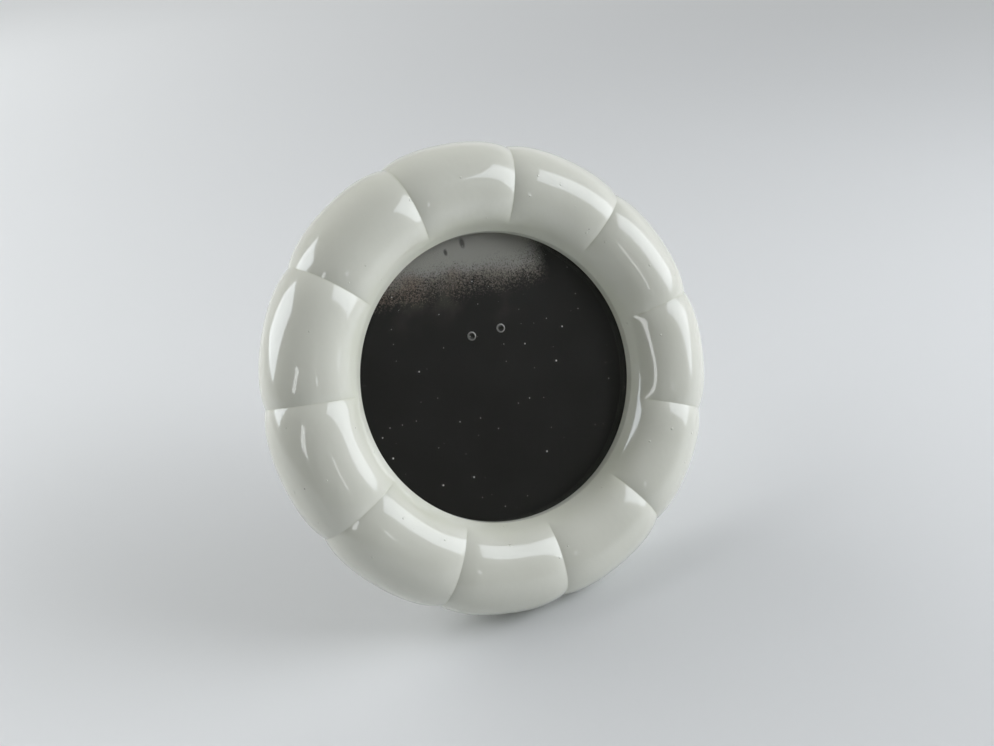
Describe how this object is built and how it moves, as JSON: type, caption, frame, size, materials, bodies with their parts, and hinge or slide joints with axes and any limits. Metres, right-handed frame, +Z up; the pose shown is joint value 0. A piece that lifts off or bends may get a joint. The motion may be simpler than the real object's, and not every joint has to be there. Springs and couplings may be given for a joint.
{
  "type": "round photo frame",
  "caption": "Round glazed ceramic photo frame with a lobed ring, glass and black backing board behind its opening, turn buttons and a folding easel leg.",
  "frame": {"origin": "on the ground under the middle of the frame's box, as it stands on its leg", "axes": "+Z up, the face of the frame leans back and looks towards -Y, +X to the right seen from the front"},
  "size_m": [0.1998, 0.116, 0.177],
  "materials": {
    "ivory_glaze": "glossy transparent glaze on a white body",
    "clear_glass": "clear float glass, dusty",
    "black_paper": "matt black covering paper with a fine grain",
    "grey_board": "raw pressed board edge",
    "hinge_steel": "zinc plated sheet",
    "rivet_steel": "nickel plated eyelet",
    "screw_steel": "bright zinc",
    "button_brass": "brass plated steel strip",
    "plug_nylon": "natural nylon"
  },
  "bodies": {
    "frame": {"ceramic_ring": "ivory_glaze", "glass_disc": "clear_glass", "board_front_paper": "black_paper", "board_core": "grey_board", "board_rear_paper": "black_paper", "hinge_board_leaf": "hinge_steel", "board_rivets": "rivet_steel", "hinge_pin": "hinge_steel", "button_screws": "screw_steel", "button_washers": "screw_steel", "screw_plugs": "plug_nylon"},
    "leg": {"hinge_leg_leaf": "hinge_steel", "leg_rivets": "rivet_steel", "leg_front_paper": "black_paper", "leg_core": "grey_board", "leg_rear_paper": "black_paper"},
    "button_1": {"turn_button_1": "button_brass"},
    "button_2": {"turn_button_2": "button_brass"},
    "button_3": {"turn_button_3": "button_brass"},
    "button_4": {"turn_button_4": "button_brass"}
  },
  "joints": [
    {"name": "leg_fold", "type": "hinge", "parent": "frame", "child": "leg", "pos_m": [0, 0.01289, 0.09317], "axis": [1, 0, 0], "range_deg": [-40, 0]},
    {"name": "button_1_turn", "type": "hinge", "parent": "frame", "child": "button_1", "pos_m": [0.05443, 0.03266, 0.13191], "axis": [0, 0.866, -0.5], "range_deg": [-90, 90]},
    {"name": "button_2_turn", "type": "hinge", "parent": "frame", "child": "button_2", "pos_m": [0.05443, -0.02177, 0.03763], "axis": [0, 0.866, -0.5], "range_deg": [-90, 90]},
    {"name": "button_3_turn", "type": "hinge", "parent": "frame", "child": "button_3", "pos_m": [-0.05443, -0.02177, 0.03763], "axis": [0, 0.866, -0.5], "range_deg": [-90, 90]},
    {"name": "button_4_turn", "type": "hinge", "parent": "frame", "child": "button_4", "pos_m": [-0.05443, 0.03266, 0.13191], "axis": [0, 0.866, -0.5], "range_deg": [-90, 90]}
  ]
}
